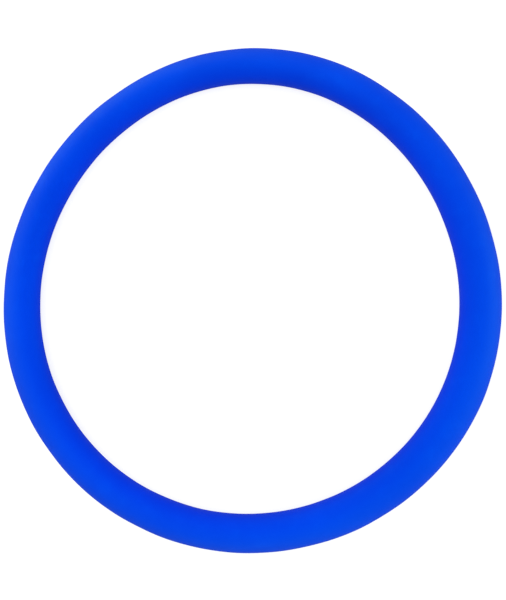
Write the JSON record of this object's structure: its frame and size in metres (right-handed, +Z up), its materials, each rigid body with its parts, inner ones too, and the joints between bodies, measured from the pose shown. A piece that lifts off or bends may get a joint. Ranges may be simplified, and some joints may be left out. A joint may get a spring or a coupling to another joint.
{
  "type": "flying ring",
  "caption": "Soft flying ring for throwing and catching: a domed rubber band round an open centre, over a foam core and a stiffening hoop.",
  "frame": {"origin": "on the spin axis, in the plane of the flat land that the ring rests on", "axes": "+Z up along the spin axis, from the flatter belly to the domed crown; the joint in the inner hoop lies towards +Y"},
  "size_m": [0.27, 0.27, 0.016],
  "materials": {
    "skin_rubber": "matte",
    "core_foam": "matte",
    "hoop_plastic": "satin",
    "connector_plastic": "satin"
  },
  "bodies": {
    "root": {"upper_skin": "skin_rubber", "lower_skin": "skin_rubber", "upper_foam_core": "core_foam", "lower_foam_core": "core_foam", "hoop_tube": "hoop_plastic", "hoop_connector": "connector_plastic"}
  },
  "joints": []
}
